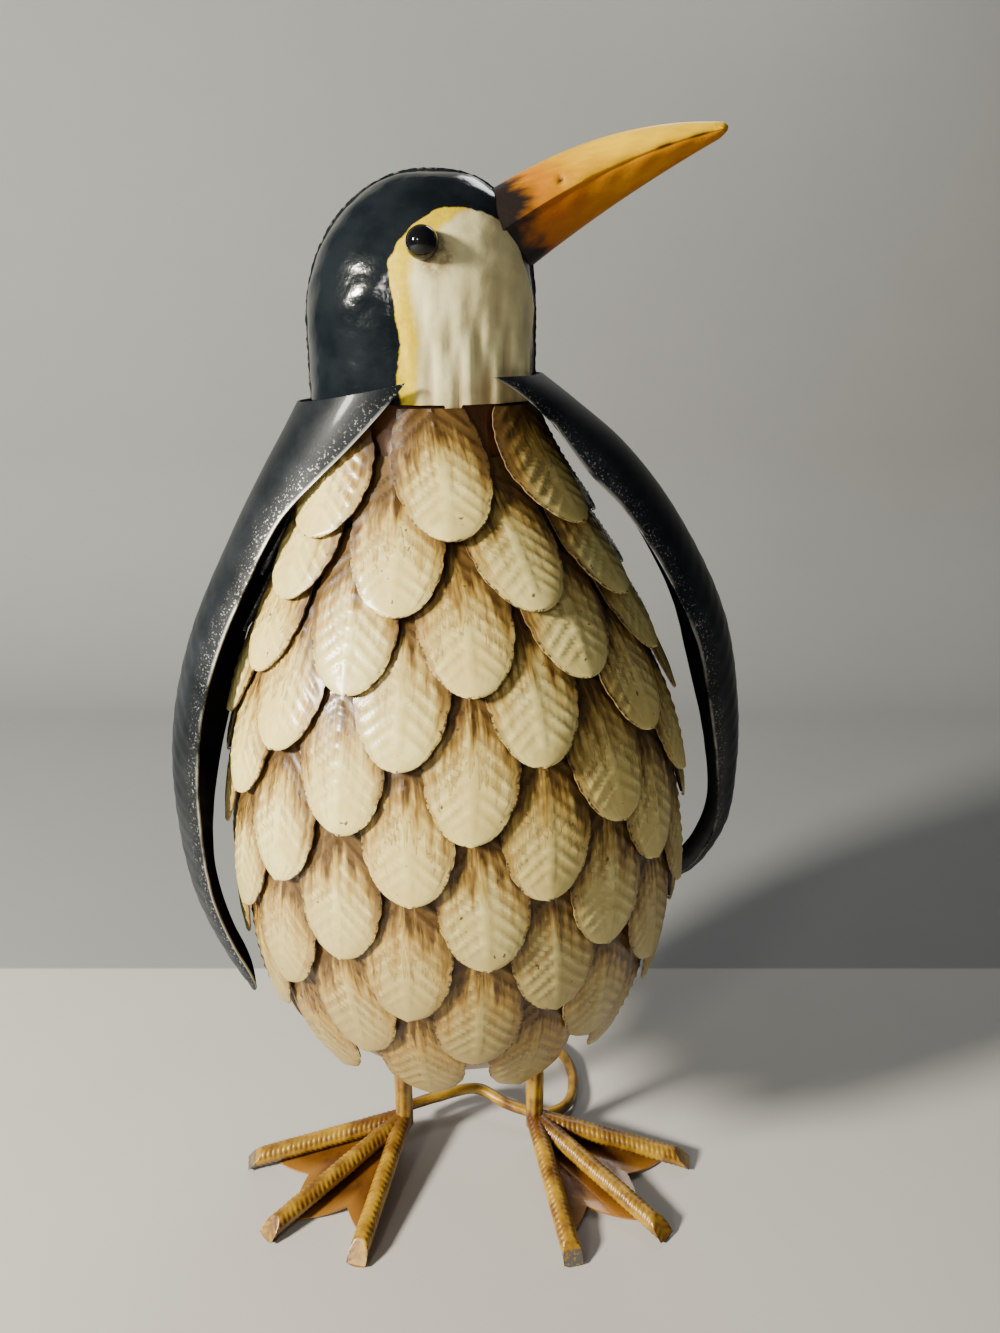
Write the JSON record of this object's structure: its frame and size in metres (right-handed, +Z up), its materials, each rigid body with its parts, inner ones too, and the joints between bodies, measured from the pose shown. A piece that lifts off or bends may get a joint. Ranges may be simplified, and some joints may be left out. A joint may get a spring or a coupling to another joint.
{
  "type": "metal penguin figurine",
  "caption": "Standing penguin ornament of sheet metal with layered leaf feathers, curved wings, a turned head and webbed rod feet.",
  "frame": {"origin": "middle of the whole figure's box, on the floor that it stands on", "axes": "+Z up; the body faces -Y and the beak points to +X"},
  "size_m": [0.2564, 0.1936, 0.4794],
  "materials": {
    "cream_feathers": "satin",
    "black_feathers": "satin",
    "black_gloss": "gloss",
    "amber_lacquer": "gloss",
    "face_cream": "gloss",
    "beak_yellow": "satin",
    "foot_ochre": "satin",
    "eye_bead": "gloss"
  },
  "bodies": {
    "root": {"beak": "beak_yellow", "body_shell": "black_feathers", "brace_rod": "foot_ochre", "breast_feather_10_1": "cream_feathers", "breast_feather_10_2": "cream_feathers", "breast_feather_10_3": "cream_feathers", "breast_feather_10_4": "cream_feathers", "breast_feather_1_1": "cream_feathers", "breast_feather_1_2": "cream_feathers", "breast_feather_1_3": "cream_feathers", "breast_feather_2_1": "cream_feathers", "breast_feather_2_2": "cream_feathers", "breast_feather_2_3": "cream_feathers", "breast_feather_3_1": "cream_feathers", "breast_feather_3_2": "cream_feathers", "breast_feather_3_3": "cream_feathers", "breast_feather_3_4": "cream_feathers", "breast_feather_4_1": "cream_feathers", "breast_feather_4_2": "cream_feathers", "breast_feather_4_3": "cream_feathers", "breast_feather_4_4": "cream_feathers", "breast_feather_5_1": "cream_feathers", "breast_feather_5_2": "cream_feathers", "breast_feather_5_3": "cream_feathers", "breast_feather_5_4": "cream_feathers", "breast_feather_6_1": "cream_feathers", "breast_feather_6_2": "cream_feathers", "breast_feather_6_3": "cream_feathers", "breast_feather_6_4": "cream_feathers", "breast_feather_7_1": "cream_feathers", "breast_feather_7_2": "cream_feathers", "breast_feather_7_3": "cream_feathers", "breast_feather_7_4": "cream_feathers", "breast_feather_8_1": "cream_feathers", "breast_feather_8_2": "cream_feathers", "breast_feather_8_3": "cream_feathers", "breast_feather_8_4": "cream_feathers", "breast_feather_9_1": "cream_feathers", "breast_feather_9_2": "cream_feathers", "breast_feather_9_3": "cream_feathers", "breast_feather_9_4": "cream_feathers", "eye_left": "eye_bead", "eye_right": "eye_bead", "head": "black_gloss", "leg_left": "foot_ochre", "leg_right": "foot_ochre", "toe_inner_left": "foot_ochre", "toe_inner_right": "foot_ochre", "toe_middle_left": "foot_ochre", "toe_middle_right": "foot_ochre", "toe_outer_left": "foot_ochre", "toe_outer_right": "foot_ochre", "web_left": "amber_lacquer", "web_right": "amber_lacquer", "wing_left": "black_gloss", "wing_right": "black_gloss"}
  },
  "joints": []
}
